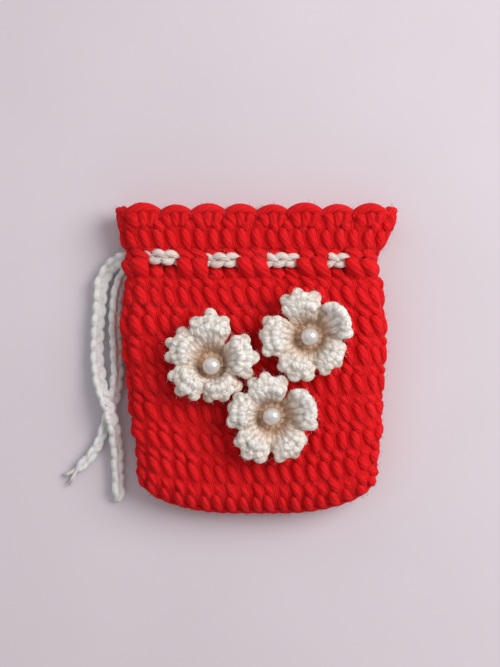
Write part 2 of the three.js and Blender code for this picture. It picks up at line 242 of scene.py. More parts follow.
def yarn_material(name, bright, shade, glow, cup_shade=None, soft=0.5):
    """Twisted yarn: plies wind round the strand, with fine fibres, a tint for each stitch and shade painted
    in the ply grooves.

    Painted shade: the cup shade colour, a tan, is painted low in a flower's cup; soft is how much light goes
    through the yarn.
    """
    material, start = new_material(name)
    along = start.add("ShaderNodeUVMap", {"uv_map": "yarn"})
    place = start.add("ShaderNodeSeparateXYZ", values={0: along})
    turn = place.out("X") + place.out("Y")
    ply = start.maths("ABSOLUTE", start.maths("SINE", turn * (math.pi * PLIES)))
    lengthwise = start.add("ShaderNodeCombineXYZ", values={0: turn * 9, 1: place.out("X") * 4})
    fibre = start.noise(lengthwise, scale=3.0, detail=3.0)
    spot = start.add("ShaderNodeTexCoord").out("Object")
    patch = start.noise(spot, scale=95.0, detail=2.0)
    tint = start.add("ShaderNodeAttribute", {"attribute_name": "tint"}).out("Fac")
    # painted shade: the ply term darkens the grooves between plies towards the shade colour; fibres, patches
    # and each stitch's tint are the yarn's own tone
    light = ply * 0.3 + fibre * 0.5 + patch * 0.3 + tint * 0.16 - 0.15
    base = start.mix(light, shade, bright)
    if cup_shade is not None:
        # painted shade: low in a flower's cup the colour is mixed towards a tan, most at the bottom, where
        # the petal walls shade it
        height = start.add("ShaderNodeSeparateXYZ", values={0: spot}).out("Z")
        low, high = (FLOWER_Z + 2) * MILLIMETRE, (FLOWER_Z + 9.2) * MILLIMETRE
        depth = start.add("ShaderNodeMapRange", {"interpolation_type": "SMOOTHSTEP"}, {
            "Value": height, 1: low, 2: high, 3: 0.9, 4: 0.0,
        })
        base = start.mix(depth, base, cup_shade)
    finish_material(start, {
        "Base Color": base,
        "Roughness": 0.98 - fibre * 0.25,
        "Sheen Weight": 0.3,
        "Sheen Roughness": 0.5,
        "Sheen Tint": bright,
        "Specular IOR Level": 0.1,
        "Subsurface Weight": soft,
        "Subsurface Radius": glow,
        "Subsurface Scale": 1.5 * MILLIMETRE,
        "Normal": start.bump(strength=0.85, distance=0.4, height=ply * 0.6 + fibre * 0.8),
    })
    return material


def pearl_material():
    """Pearl bead: soft cloudy lustre under a clear coat."""
    material, start = new_material("pearl_lustre")
    spot = start.add("ShaderNodeTexCoord").out("Object")
    cloud = start.noise(spot, scale=420.0, detail=2.0)
    finish_material(start, {
        "Base Color": start.mix(cloud, colour(218, 209, 205), colour(238, 232, 229)),
        "Metallic": 0.4,
        "Roughness": cloud * 0.1 + 0.14,
        "Coat Weight": 0.6,
        "Coat Roughness": 0.06,
    })
    return material


def thread_material():
    """Sewing thread: tight ply lines across the strand."""
    material, start = new_material("thread_cotton")
    spot = start.add("ShaderNodeTexCoord").out("Object")
    wave = start.add("ShaderNodeTexWave", {"bands_direction": "Z"}, {
        "Vector": spot, "Scale": 900.0, "Distortion": 2.0,
    })
    ply = wave.out("Fac")
    finish_material(start, {
        "Base Color": start.mix(ply, colour(190, 160, 126), colour(216, 190, 160)),
        "Roughness": 0.85 - ply * 0.2,
        "Normal": start.bump(strength=0.4, distance=0.08, height=ply),
    })
    return material


def floor_material():
    """Pale table top with a faint grain."""
    material, start = new_material("table_top")
    spot = start.add("ShaderNodeTexCoord").out("Object")
    grain = start.noise(spot, scale=12.0, detail=3.0)
    finish_material(start, {
        "Base Color": start.mix(grain, colour(209, 200, 208), colour(221, 212, 220)),
        "Roughness": 0.7,
        "Specular IOR Level": 0.25,
    })
    return material


RED_GLOW, SOFT_GLOW = (1.0, 0.12, 0.12), (1.0, 0.96, 0.92)
RED_YARN = yarn_material("red_yarn", colour(240, 42, 49), colour(208, 2, 5), RED_GLOW)
# painted shade: the tan given for the flowers stands in for the shade inside their cups
CREAM_YARN = yarn_material("cream_yarn", colour(253, 250, 246), colour(243, 234, 226), SOFT_GLOW,
                           cup_shade=colour(222, 180, 144))
# painted shade: the cord's shade colour is a deep tan, painted into its ply grooves as shadow
CREAM_CORD = yarn_material("cream_cord", colour(255, 245, 230), colour(246, 214, 182), SOFT_GLOW)
WOVEN_CORD = yarn_material("woven_cord", colour(246, 230, 224), colour(230, 208, 201), SOFT_GLOW)
LOOSE_PLIES = yarn_material("loose_plies", colour(255, 252, 252), colour(250, 240, 240), SOFT_GLOW, soft=0.0)
PEARL = pearl_material()
THREAD = thread_material()


def smooth_route(points, steps):
    """Points of a smooth curve through the given ones; further columns, such as the radius, go along."""
    given = np.asarray(points, float)
    ends = np.vstack([2 * given[0] - given[1], given, 2 * given[-1] - given[-2]])
    share = (np.arange(steps) / steps)[:, None]
    spans = []
    for a, b, c, d in zip(ends, ends[1:], ends[2:], ends[3:]):
        spans.append(0.5 * (2 * b + (c - a) * share + (2 * a - 5 * b + 4 * c - d) * share ** 2
                            + (3 * b - a - 3 * c + d) * share ** 3))
    return np.vstack([*spans, given[-1:]])


def distances(points):
    """Length of a route up to each of its points."""
    gaps = np.linalg.norm(np.diff(points[:, :3], axis=0), axis=1)
    return np.concatenate([[0], np.cumsum(gaps)])


def route_length(points):
    return float(distances(points)[-1])


def spaced(points, count):
    """The same route with evenly spaced points."""
    length = distances(points)
    at = np.linspace(0, length[-1], count)
    return np.column_stack([np.interp(at, length, column) for column in points.T])


class Yarn:
    """Strands swept along routes into one mesh, with a UV map of turns of twist and share of the circle."""

    def __init__(self):
        self.corners = []
        self.faces = []
        self.uv = []
        self.count = 0

    def strand(self, points, steps, rings, sides=6, start=0.0):
        """One strand along a smooth curve through a few points with their radii."""
        self.lay(spaced(smooth_route(points, steps), rings), sides, start)

    def lay(self, route, sides, start):
        """One strand along rows of x, y, z and radius, closed at both ends."""
        middle, radius = route[:, :3], route[:, 3]
        rings = len(route)
        ahead = np.gradient(middle, axis=0)
        ahead /= np.linalg.norm(ahead, axis=1)[:, None]
        across = np.cross(ahead[0], (0.3, 0.2, 0.93))
        spokes = np.arange(sides) * 2 * np.pi / sides
        turns = distances(middle) / TWIST + start
        for i in range(rings):
            across = across - ahead[i] * (across @ ahead[i])
            across /= np.linalg.norm(across)
            over = np.cross(ahead[i], across)
            circle = np.outer(np.cos(spokes), across) + np.outer(np.sin(spokes), over)
            self.corners.append(middle[i] + radius[i] * circle)
        first = self.count
        for i in range(rings - 1):
            low, high = first + i * sides, first + (i + 1) * sides
            for j in range(sides):
                k = (j + 1) % sides
                self.faces.append((low + j, low + k, high + k, high + j))
                self.uv += [(turns[i], j / sides), (turns[i], (j + 1) / sides),
                            (turns[i + 1], (j + 1) / sides), (turns[i + 1], j / sides)]
        last = first + (rings - 1) * sides
        self.faces.append(tuple(range(first + sides - 1, first - 1, -1)))
        self.faces.append(tuple(range(last, last + sides)))
        self.uv += [(turns[0], j / sides) for j in reversed(range(sides))]
        self.uv += [(turns[-1], j / sides) for j in range(sides)]
        self.count += rings * sides

    def web(self, top, thick):
        """A closed sheet of packed yarn under a grid of points."""
        rows, columns = top.shape[:2]
        both = np.concatenate([top, top - (0, 0, thick)]).reshape(-1, 3)
        under = rows * columns
        faces = []
        for i in range(rows - 1):
            for j in range(columns - 1):
                a, b = i * columns + j, (i + 1) * columns + j
                faces += [(a, b, b + 1, a + 1), (under + a + 1, under + b + 1, under + b, under + a)]
        grid = np.arange(under).reshape(rows, columns)
        rim = np.concatenate([grid[0], grid[1:, -1], grid[-1, -2::-1], grid[-2:0:-1, 0]]).tolist()
        for a, b in zip(rim, rim[1:] + rim[:1]):
            faces.append((a, b, under + b, under + a))
        self.corners.append(both)
        for face in faces:
            self.faces.append(tuple(self.count + k for k in face))
            self.uv += [(both[k, 0] / TWIST, both[k, 1] / TWIST) for k in face]
        self.count += len(both)

    def piece(self, name, material=None):
        return new_piece(name, np.vstack(self.corners), self.faces, self.uv, material)


def new_object(name, data):
    made = bpy.data.objects.new(name, data)
    scene.collection.objects.link(made)
    return made


def new_piece(name, corners, faces, uv=None, material=None):
    """A smooth mesh of corners in millimetres."""
    mesh = bpy.data.meshes.new(name)
    mesh.from_pydata((np.asarray(corners) * MILLIMETRE).tolist(), [], faces)
    mesh.polygons.foreach_set("use_smooth", [True] * len(mesh.polygons))
    if uv is not None:
        layer = mesh.uv_layers.new(name="yarn")
        layer.data.foreach_set("uv", np.asarray(uv, np.float32).ravel())
    if material is not None:
        mesh.materials.append(material)
    return new_object(name, mesh)


def corners_of(piece):
    """Corners of a piece in millimetres."""
    flat = np.empty(len(piece.data.vertices) * 3)
    piece.data.vertices.foreach_get("co", flat)
    return flat.reshape(-1, 3) / MILLIMETRE


def move_corners(piece, corners):
    piece.data.vertices.foreach_set("co", (np.asarray(corners) * MILLIMETRE).ravel())
    piece.data.update()


def settle(piece):
    """Makes what a piece's modifiers give its own plain mesh."""
    bpy.context.view_layer.update()
    graph = bpy.context.evaluated_depsgraph_get()
    worked = piece.evaluated_get(graph)
    made = bpy.data.meshes.new_from_object(worked, preserve_all_data_layers=True, depsgraph=graph)
    piece.modifiers.clear()
    piece.data = made
    made.name = piece.name
    made.polygons.foreach_set("use_smooth", [True] * len(made.polygons))
    return piece


def work_through(piece, tree, settings):
    """Works a piece through a node tree with the given inputs."""
    modifier = piece.modifiers.new("stitches", "NODES")
    modifier.node_group = tree
    for item in tree.interface.items_tree:
        if item.in_out == "INPUT" and item.name in settings:
            modifier[item.identifier] = settings[item.name]
    return settle(piece)


def new_tree(name, inputs, output):
    """A node tree with named inputs: the tree, its start and its inputs."""
    tree = bpy.data.node_groups.new(name, "GeometryNodeTree")
    for label, kind in inputs.items():
        tree.interface.new_socket(label, in_out="INPUT", socket_type="NodeSocket" + kind)
    tree.interface.new_socket(output, in_out="OUTPUT", socket_type="NodeSocketGeometry")
    start = Wire(tree)
    return tree, start, start.add("NodeGroupInput")


def finish_tree(start, given, made):
    """Ends a node tree with plain meshes in the given yarn."""
    real = start.add("GeometryNodeRealizeInstances", values={"Geometry": made})
    dyed = start.add("GeometryNodeSetMaterial", values={"Geometry": real, "Material": given.out("Yarn")})
    start.add("NodeGroupOutput", values={0: dyed})


def copies_tree():
    """Node tree that sets a shape on every point, turned and sized by the point, with chance changes."""
    tree, start, given = new_tree("set_stitches", {
        "Places": "Geometry", "Stitch": "Object", "Yarn": "Material", "Tilt": "Float", "Slack": "Float",
        "Seed": "Int",
    }, "Fabric")
    seed = given.out("Seed")
    sway = start.chance((-1, -1, -1), (1, 1, 1), seed).scaled(given.out("Tilt"))
    turn = start.vector("ADD", start.attribute("turn"), sway)
    size = start.attribute("size").scaled(start.chance(-1.0, 1.0, seed + 1) * given.out("Slack") + 1)
    copies = start.add("GeometryNodeInstanceOnPoints", values={
        "Points": given.out("Places"),
        "Instance": start.shape_of(given.out("Stitch")),
        "Rotation": start.add("FunctionNodeEulerToRotation", values={0: turn}),
        "Scale": size,
    })
    tinted = start.add("GeometryNodeStoreNamedAttribute", {"data_type": "FLOAT", "domain": "INSTANCE"}, {
        "Geometry": copies, "Name": "tint", "Value": start.chance(0.0, 1.0, seed + 2),
    })
    finish_tree(start, given, tinted)
    return tree


def plies_tree():
    """Node tree that gives a fused surface the lie of the plies of the strands under it."""
    tree, start, given = new_tree("keep_plies", {
        "Fabric": "Geometry", "Strands": "Object", "Yarn": "Material",
    }, "Fused")
    near = start.add("GeometryNodeSampleNearestSurface", {"data_type": "FLOAT_VECTOR"}, {
        "Mesh": start.shape_of(given.out("Strands")), "Value": start.attribute("yarn"),
    })
    marked = start.add("GeometryNodeStoreNamedAttribute", {"data_type": "FLOAT2", "domain": "CORNER"}, {
        "Geometry": given.out("Fabric"), "Name": "yarn", "Value": near,
    })
    finish_tree(start, given, marked)
    return tree


def fibres_tree():
    """Node tree that grows fine loose fibres on the outside of a fabric."""
    tree, start, given = new_tree("grow_fibres", {
        "Fabric": "Geometry", "Fibre": "Object", "Yarn": "Material", "Density": "Float", "Middle": "Vector",
        "Outward": "Vector", "Seed": "Int",
    }, "Fuzz")
    seed = given.out("Seed")
    away = start.vector("SUBTRACT", start.add("GeometryNodeInputPosition"), given.out("Middle"))
    away = start.vector("NORMALIZE", start.vector("MULTIPLY", away, given.out("Outward")))
    facing = start.vector("DOT_PRODUCT", away, start.add("GeometryNodeInputNormal")).out("Value")
    outside = start.add("FunctionNodeCompare", {"data_type": "FLOAT", "operation": "GREATER_THAN"}, {
        0: facing, 1: 0.3,
    })
    roots = start.add("GeometryNodeDistributePointsOnFaces", values={
        "Mesh": given.out("Fabric"), "Selection": outside, "Density": given.out("Density"), "Seed": seed,
    })
    sway = start.chance((-1.1, -1.1, -3.1), (1.1, 1.1, 3.1), seed + 1)
    turn = start.add("FunctionNodeRotateRotation", {"rotation_space": "LOCAL"}, {
        "Rotation": roots.out("Rotation"),
        "Rotate By": start.add("FunctionNodeEulerToRotation", values={0: sway}),
    })
    copies = start.add("GeometryNodeInstanceOnPoints", values={
        "Points": roots,
        "Instance": start.shape_of(given.out("Fibre")),
        "Rotation": turn,
        "Scale": start.chance(0.5, 1.2, seed + 2),
    })
    finish_tree(start, given, copies)
    return tree


SET_COPIES = copies_tree()
KEEP_PLIES = plies_tree()
GROW_FIBRES = fibres_tree()


def set_copies(name, shape, places, turns, sizes, material, tilt, slack, seed):
    """A plain mesh of copies of a shape, one on each place; turns are Euler angles."""
    mesh = bpy.data.meshes.new(name + "_places")
    mesh.from_pydata((np.asarray(places) * MILLIMETRE).tolist(), [], [])
    for label, values in (("turn", turns), ("size", sizes)):
        attribute = mesh.attributes.new(label, "FLOAT_VECTOR", "POINT")
        attribute.data.foreach_set("vector", np.asarray(values, np.float32).ravel())
    piece = work_through(new_object(name, mesh), SET_COPIES, {
        "Stitch": shape, "Yarn": material, "Tilt": tilt, "Slack": slack, "Seed": seed,
    })
    bpy.data.objects.remove(shape)
    return piece


def soften(strands, grain, passes):
    """Fuses the strands of a piece into one soft surface that keeps the lie of their plies."""
    name = strands.name
    strands.name = name + "_strands"
    piece = new_object(name, strands.data.copy())
    fuse = piece.modifiers.new("fuse", "REMESH")
    fuse.mode = "VOXEL"
    fuse.voxel_size = grain * MILLIMETRE
    even = piece.modifiers.new("even", "SMOOTH")
    even.factor = 0.5
    even.iterations = passes
    settle(piece)
    work_through(piece, KEEP_PLIES, {"Strands": strands, "Yarn": strands.data.materials[0]})
    bpy.data.objects.remove(strands)
    return piece


def fibres(piece, material, density, middle, outward, seed):
    """Loose fibres of a piece's yarn; density is fibres a square millimetre of yarn."""
    yarn = Yarn()
    bent = np.array([(0, 0, -0.1, 0.05), (0.08, 0, 0.6, 0.045), (0.45, 0.15, 1.4, 0.025)])
    yarn.lay(bent, sides=3, start=0.0)
    shape = yarn.piece("fibre")
    made = work_through(new_object(piece.name + "_fuzz", piece.data), GROW_FIBRES, {
        "Fibre": shape, "Yarn": material, "Density": density / MILLIMETRE ** 2,
        "Middle": [c * MILLIMETRE for c in middle], "Outward": list(outward), "Seed": seed,
    })
    bpy.data.objects.remove(shape)
    move_corners(made, on_table(corners_of(made)))
    return made


def join(piece, *others):
    """Makes the other pieces part of the first one."""
    with bpy.context.temp_override(active_object=piece, selected_editable_objects=[piece, *others]):
        bpy.ops.object.join()


def finish_piece(piece, slot, *nodes):
    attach(piece, "root")
    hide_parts(*nodes)


def finish_with_fuzz(piece, slot, node, **fuzz_facts):
    """Finishes a piece and the loose fibres that grow on it."""
    fuzz = fibres(piece, **fuzz_facts)
    finish_piece(piece, slot, node)
    finish_piece(fuzz, slot, node)


def ease(value, low, high):
    """Rises smoothly from 0 at the low value to 1 at the high one."""
    share = np.clip((value - low) / (high - low), 0, 1)
    return share * share * (3 - 2 * share)


def blend(first, second, share):
    return first + (second - first) * share


def ring_point(share, half_width, half_depth):
    """x and z on a flattened ring, a share of the way round from the middle of the front."""
    straight = half_width - half_depth
    fold = np.pi * half_depth
    along = (share % 1) * (4 * straight + 2 * fold)
    ends = np.cumsum([straight, fold, 2 * straight, fold], axis=0)
    right, left = (along - ends[0]) / half_depth, (along - ends[2]) / half_depth
    stretch = [along <= end for end in ends]
    x = np.select(stretch, [along, straight + half_depth * np.sin(right), straight - along + ends[1],
                            -straight - half_depth * np.sin(left)], along - ends[3] - straight)
    z = np.select(stretch, [half_depth, half_depth * np.cos(right), -half_depth,
                            -half_depth * np.cos(left)], half_depth)
    return x, z


def lean(y):
    """The pouch lies a little askew: its neck is to the left of its base."""
    return -1.1 * ease(y, 46, 38) * ease(y, -28, 12) + 0.3 * ease(y, -12, -32)


def wall_middle(share, rounds):
    """Middle of the crocheted wall at a share of the way round and a number of rounds up."""
    half_fabric = FABRIC / 2
    y = BOTTOM_Y + rounds * ROUND_HEIGHT
    band_low, band_high = CORD_Y - POST_HEIGHT / 2 - 1, CORD_Y + POST_HEIGHT / 2 + 1
    width = blend(BASE_WIDTH, BELLY_WIDTH, ease(y, BOTTOM_Y + CORNER_RADIUS, BELLY_Y))
    width = blend(width, WAIST_WIDTH, ease(y, BELLY_Y, band_low))
    width = blend(width, MOUTH_WIDTH, ease(y, band_high, EDGE_Y))
    depth = blend(MID_Z, WAIST_HALF_DEPTH + half_fabric, ease(y, BELLY_Y, band_low))
    depth = blend(depth, MOUTH_DEPTH / 2, ease(y, band_high, EDGE_Y))
    x, z = ring_point(share, width / 2 - half_fabric, depth - half_fabric)
    past = np.clip((np.abs(x) - BASE_WIDTH / 2 + half_fabric) / CORNER_WIDTH + 1, 0, 1)
    lift = CORNER_HEIGHT * (1 - np.sqrt(1 - past ** 2)) - SAG
    lift = lift * np.clip(1 - rounds / CORNER_ROUNDS, 0, 1) ** 1.6
    fold = MID_Z - half_fabric
    run = np.clip(rounds, 0, 1) * (ROUND_HEIGHT + (math.pi / 2 - 1) * fold - half_fabric)
    turn = np.minimum(run / fold, math.pi / 2)
    curl = BOTTOM_Y + half_fabric + fold * (1 - np.cos(turn)) + np.maximum(0, run - fold * math.pi / 2)
    y = np.where(rounds < 1, curl, y) + lift
    x = SPREAD * x + SHIFT
    for height, reach, swell in SWELLS:
        x = x + swell * np.tanh(x / 10) * np.exp(-((y - height) / reach) ** 2)
    return np.stack([x + lean(y), y, MID_Z + z * np.where(rounds < 1, np.sin(turn), 1)], axis=-1)


def on_table(corners):
    """Presses what would reach below the table flat on it."""
    pressed = PRESS * np.exp(np.minimum(corners[:, 2] - PRESS, 0) / PRESS)
    corners[:, 2] = np.where(corners[:, 2] < PRESS, pressed, corners[:, 2])
    return corners


def on_pouch(flat):
    """Bends flat fabric (mm across from the middle of the front, mm up, mm outward) round the pouch."""
    share, rounds = flat[:, 0] / AROUND, flat[:, 1] / ROUND_HEIGHT
    wave = 0.012 * np.sin(flat[:, 0] * 0.21 + 1.3) + 0.010 * np.sin(flat[:, 0] * 0.083 + flat[:, 1] * 0.11)
    rounds = rounds + wave * ease(rounds, 0, 1.5) * ease(rounds, 10.2, 9)
    aside, above = 1e-3, 0.02
    around = wall_middle(share + aside, rounds) - wall_middle(share - aside, rounds)
    upward = wall_middle(share, rounds + above) - wall_middle(share, np.maximum(rounds - above, -above))
    outward = np.cross(around, upward)
    outward /= np.maximum(np.linalg.norm(outward, axis=1), 1e-9)[:, None]
    groove = (0.25 + 0.3 * np.abs(outward[:, 2])) * np.abs(np.cos(np.pi * rounds)) ** 14
    return on_table(wall_middle(share, rounds) + outward * (flat[:, 2] - groove)[:, None])


def bent_copies(name, shape, places, seed, tilt=0.05, slack=0.05):
    """Red copies of a flat shape, bent round the pouch; places are mm across and mm up."""
    flat = np.array([(x, y, 0) for x, y in places])
    level = np.zeros_like(flat)
    piece = set_copies(name, shape, flat, level, level + 1, RED_YARN, tilt, slack, seed)
    move_corners(piece, on_pouch(corners_of(piece)))
    finish_with_fuzz(piece, "red_yarn", "pouch_body", material=RED_YARN, density=RED_FUZZ,
                     middle=POUCH_MIDDLE, outward=POUCH_OUTWARD, seed=seed + 40)


def double_crochet(swing, flat, broad, slant=1.0):
    """One double crochet: yarn from the last stitch's top, down in front in two slanting wraps, up behind.

    It bows outward by the swing; flat, broad and slant scale its depth, its whole width and its slant.
    """
    route = [
        (-0.50, 0.99, -0.55, 0.95), (-0.32, 1.01, -0.15, 0.95), (-0.22, 0.95, 0.30, 1.12),
        (-0.07, 0.86, 0.52, 1.28), (0.09, 0.76, 0.44, 1.22), (0.19, 0.67, 0.00, 1.00),
        (0.08, 0.62, -0.60, 0.90), (-0.20, 0.66, -0.35, 0.90), (-0.23, 0.68, 0.20, 1.08),
        (-0.15, 0.56, 0.64, 1.36), (-0.02, 0.37, 0.76, 1.46), (0.11, 0.18, 0.60, 1.38),
        (0.20, 0.02, -0.15, 1.00), (0.05, -0.08, -0.90, 0.90), (-0.20, 0.05, -0.90, 0.95),
        (-0.08, 0.35, -0.75, 1.15), (0.10, 0.65, -0.75, 1.15), (0.10, 0.88, -0.80, 0.95),
        (-0.08, 1.02, -0.95, 0.95), (0.22, 1.04, -0.70, 0.95), (0.50, 0.99, -0.55, 0.95),
    ]
    placed = []
    for across, up, out, radius in route:
        bow = swing * math.cos(math.pi * min(abs(up - 0.5), 0.5)) ** 2
        placed.append((across * slant * STITCH_WIDTH, up * ROUND_HEIGHT, out * flat + bow, radius))
    yarn = Yarn()
    yarn.strand(placed, steps=6, rings=30)
    piece = yarn.piece("double_crochet")
    piece.data.transform(Matrix.Diagonal((broad, 1, 1, 1)))
    return piece


def plain_rounds(name, first, last, seed):
    """Rounds of double crochet bent round the pouch."""
    places = []
    for row in range(first, last):
        for stitch in range(STITCHES):
            places.append(((stitch + ROW_SHIFT * row) * STITCH_WIDTH, row * ROUND_HEIGHT))
    stitch_shape = double_crochet(swing=0, flat=0.66, broad=1.08)
    bent_copies(name, stitch_shape, places, seed, tilt=0.07, slack=0.07)


def cord_round():
    """Pairs of stitches that bow outward and inward in turn around the drawstring."""
    foot = BODY_ROUNDS * ROUND_HEIGHT
    rows = (("stitches_over_cord", POST_SWING, 0, 5), ("stitches_under_cord", -POST_SWING, 1, 5.6))
    for name, swing, first, apart in rows:
        places = []
        for pair in range(first, PAIRS, 2):
            for side in (-1, 1):
                places.append((pair * PAIR_STEP + side * apart / 2 + DRAWN.get(pair, 0), foot))
        post = double_crochet(swing, flat=0.5, broad=2.0, slant=0.62)
        bent_copies(name, post, places, seed=31 + first, tilt=0.03)


def shell():
    """One scallop of the edge: stitches fan out of one place under two strands along the rim."""
    yarn = Yarn()
    for degrees in (-62, 0, 62):
        slant = math.radians(degrees)
        x, y = 0.38 * PAIR_STEP * math.sin(slant), 1.0 + 1.9 * math.cos(slant)
        fan = [(0.5 * x, -1.8, -0.2, 1.4), (0.75 * x, 0.0, 0.35, 1.75),
               (0.95 * x, 0.62 * y, 0.3, 1.8), (x, y, -0.3, 1.4)]
        yarn.strand(fan, steps=4, rings=10, sides=8, start=degrees / 50)
    for bulge, back, thick in ((0.7, -0.5, 1.6), (-0.8, 0.0, 1.45)):
        rim = []
        for share in np.linspace(-0.54, 0.54, 9):
            arch = max(0, math.cos(math.pi * share))
            rim.append((share * PAIR_STEP, 1.6 + back + 2.6 * arch ** 0.6,
                        bulge * (0.4 + 0.6 * arch), thick * (0.75 + 0.25 * arch)))
        yarn.strand(rim, steps=3, rings=26, sides=8, start=back)
    return yarn.piece("shell")


def shell_edge():
    """The scalloped edge round the open mouth."""
    places = [((k + 0.5) * PAIR_STEP, EDGE_ROUNDS * ROUND_HEIGHT) for k in range(PAIRS)]
    bent_copies("shell_edge", shell(), places, seed=41, tilt=0.07, slack=0.08)


def foundation():
    """The two strands of the first chain, along the bottom edge."""
    end = 0.246
    shares = np.linspace(-end, end, 90)
    line = wall_middle(shares, np.zeros_like(shares))
    ahead = np.gradient(line, axis=0)
    outward = np.column_stack([ahead[:, 1], -ahead[:, 0], np.zeros(len(line))])
    outward /= np.linalg.norm(outward, axis=1)[:, None]
    thick = 0.7 + 0.85 * ease(np.abs(shares), end, 0.2)
    wave = 0.15 * np.sin(2 * np.pi * shares * STITCHES)
    yarn = Yarn()
    for side in (-1, 1):
        strand = line + outward * (0.15 + side * wave)[:, None] + (0, 0, 1.35 * side)
        yarn.lay(np.column_stack([strand, thick]), sides=10, start=side * 0.3)
    piece = yarn.piece("foundation_chain", RED_YARN)
    finish_with_fuzz(piece, "red_yarn", "pouch_body", material=RED_YARN, density=RED_FUZZ,
                     middle=POUCH_MIDDLE, outward=(0, 1, 0.3), seed=71)


def fabric_core(name, low, high):
    """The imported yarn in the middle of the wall, behind the stitches that show."""
    columns = CORE_COLUMNS
    levels = np.linspace(low, high, int((high - low) * CORE_LEVELS) + 2)
    rows = len(levels)
    x = np.arange(columns) * AROUND / columns
    flat = []
    for depth in CORE_DEPTHS:
        for level in levels:
            ripple = 0.12 * np.sin(2 * np.pi * x / STITCH_WIDTH) + 0.2 * np.cos(2 * np.pi * level)
            flat.append(np.column_stack([x, np.full(columns, level * ROUND_HEIGHT), depth - 0.25 + ripple]))
    flat = np.vstack(flat)
    faces = []
    for row in range(rows - 1):
        for i in range(columns):
            j = (i + 1) % columns
            a, b = row * columns, (row + 1) * columns
            c, d = a + rows * columns, b + rows * columns
            faces.append((a + i, a + j, b + j, b + i))
            faces.append((c + j, c + i, d + i, d + j))
    for row, up in ((0, False), (rows - 1, True)):
        for i in range(columns):
            j = (i + 1) % columns
            a, c = row * columns, (row + rows) * columns
            faces.append((a + i, a + j, c + j, c + i) if up else (a + j, a + i, c + i, c + j))
    spots = flat[np.ravel(faces)]
    uv = np.column_stack([spots[:, 1] / TWIST, spots[:, 0] / STITCH_WIDTH])
    finish_piece(new_piece(name, on_pouch(flat), faces, uv, RED_YARN), "red_yarn", "pouch_body")


def chain_link():
    """One loop of a crocheted chain: two fat arms and the bar behind them."""
    arm = [(-0.30, 0.02, -0.70, 0.85), (0.02, 0.15, 0.00, 1.12), (0.38, 0.275, 0.55, 1.36),
           (0.74, 0.265, 0.72, 1.36), (1.08, 0.12, 0.46, 1.12), (1.32, 0.01, -0.25, 0.85)]
    bar = [(0.15, -0.22, -0.4, 0.9), (0.45, 0.0, -0.6, 1.0), (0.75, 0.22, -0.4, 0.9)]
    yarn = Yarn()
    for side in (-1, 1):
        placed = [((u + 0.1 * side) * LINK_LENGTH, side * v * LINK_WIDTH, w, r) for u, v, w, r in arm]
        yarn.strand(placed, steps=4, rings=11, start=side * 0.2)
    placed = [(u * LINK_LENGTH, v * LINK_WIDTH, w, r) for u, v, w, r in bar]
    yarn.strand(placed, steps=3, rings=6)
    return yarn.piece("chain_link")


def link_frames(route, faces):
    """Places and turns of chain links along a route; faces are the ways that the chain's face looks."""
    count = max(2, round(route_length(route) / LINK_LENGTH))
    both = spaced(np.column_stack([route, faces]), count + 1)
    middle, face = both[:, :3], both[:, 3:]
    turns = []
    for i in range(count):
        ahead = Vector(middle[i + 1] - middle[i]).normalized()
        side = Vector(face[i]).cross(ahead).normalized()
        up = ahead.cross(side)
        turns.append(tuple(Matrix((ahead, side, up)).transposed().to_euler()))
    return middle[:-1], turns


def chain(name, route, faces, material, seed, size=(1, 1, 1), tip=1.0):
    """Chain stitches along a route; tip is how wide the last ones are, as a share of the others."""
    places, turns = link_frames(route, faces)
    slim = blend(1.0, tip, ease(np.linspace(0, 1, len(places)), 0.55, 0.95))
    sizes = np.tile(size, (len(places), 1)) * np.column_stack([np.ones_like(slim), slim, slim])
    return set_copies(name, chain_link(), places, turns, sizes, material, tilt=0.06, slack=0.03, seed=seed)


def woven_route():
    """The drawstring's way round the waist, behind every even pair and over every odd one, and its face."""
    passes = np.concatenate([[-4.5], np.arange(-4, 13 + 1e-6, 1 / 3)])

    def on_waist(shift):
        return ring_point(passes / PAIRS + shift, WAIST_HALF_WIDTH, WAIST_HALF_DEPTH)

    x, z = on_waist(0)
    before, after = on_waist(-1e-4), on_waist(1e-4)
    out_x, out_z = before[1] - after[1], after[0] - before[0]
    size = np.hypot(out_x, out_z)
    out_x, out_z = out_x / size, out_z / size
    swing = -CORD_SWING * np.cos(np.pi * passes)
    rise = 1.4 * ease(x, -14, -36) * (z > 0)
    y = CORD_Y + 1 + 1.2 * (1 - ease(passes, -4.5, -3.5)) + rise
    route = np.column_stack([x + swing * out_x + lean(y), y, MID_Z + z + swing * out_z])
    return route, np.column_stack([out_x, np.zeros_like(x), out_z])


def frayed_end(root, tip, seed):
    """Loose plies of the yarn beyond the last link of a tail."""
    chance = np.random.default_rng(seed)
    yarn = Yarn()
    ahead = tip - root
    aside = np.array([-ahead[1], ahead[0], 0])
    for _ in range(8):
        spread = chance.uniform(-0.45, 0.45)
        reach = chance.uniform(0.75, 1.05)
        heights = root[2] + chance.uniform(-0.6, 0.9, 4)
        strand = []
        for share, height, thick in zip((-0.4, 0.2, 0.65, 1.0), heights, (0.6, 0.5, 0.36, 0.16)):
            spot = root + ahead * share * reach + aside * spread * max(0, share) ** 1.3
            strand.append((spot[0], spot[1], max(height, 0.65), thick))
        yarn.strand(strand, steps=3, rings=8)
    return yarn.piece("frayed_end", LOOSE_PLIES)


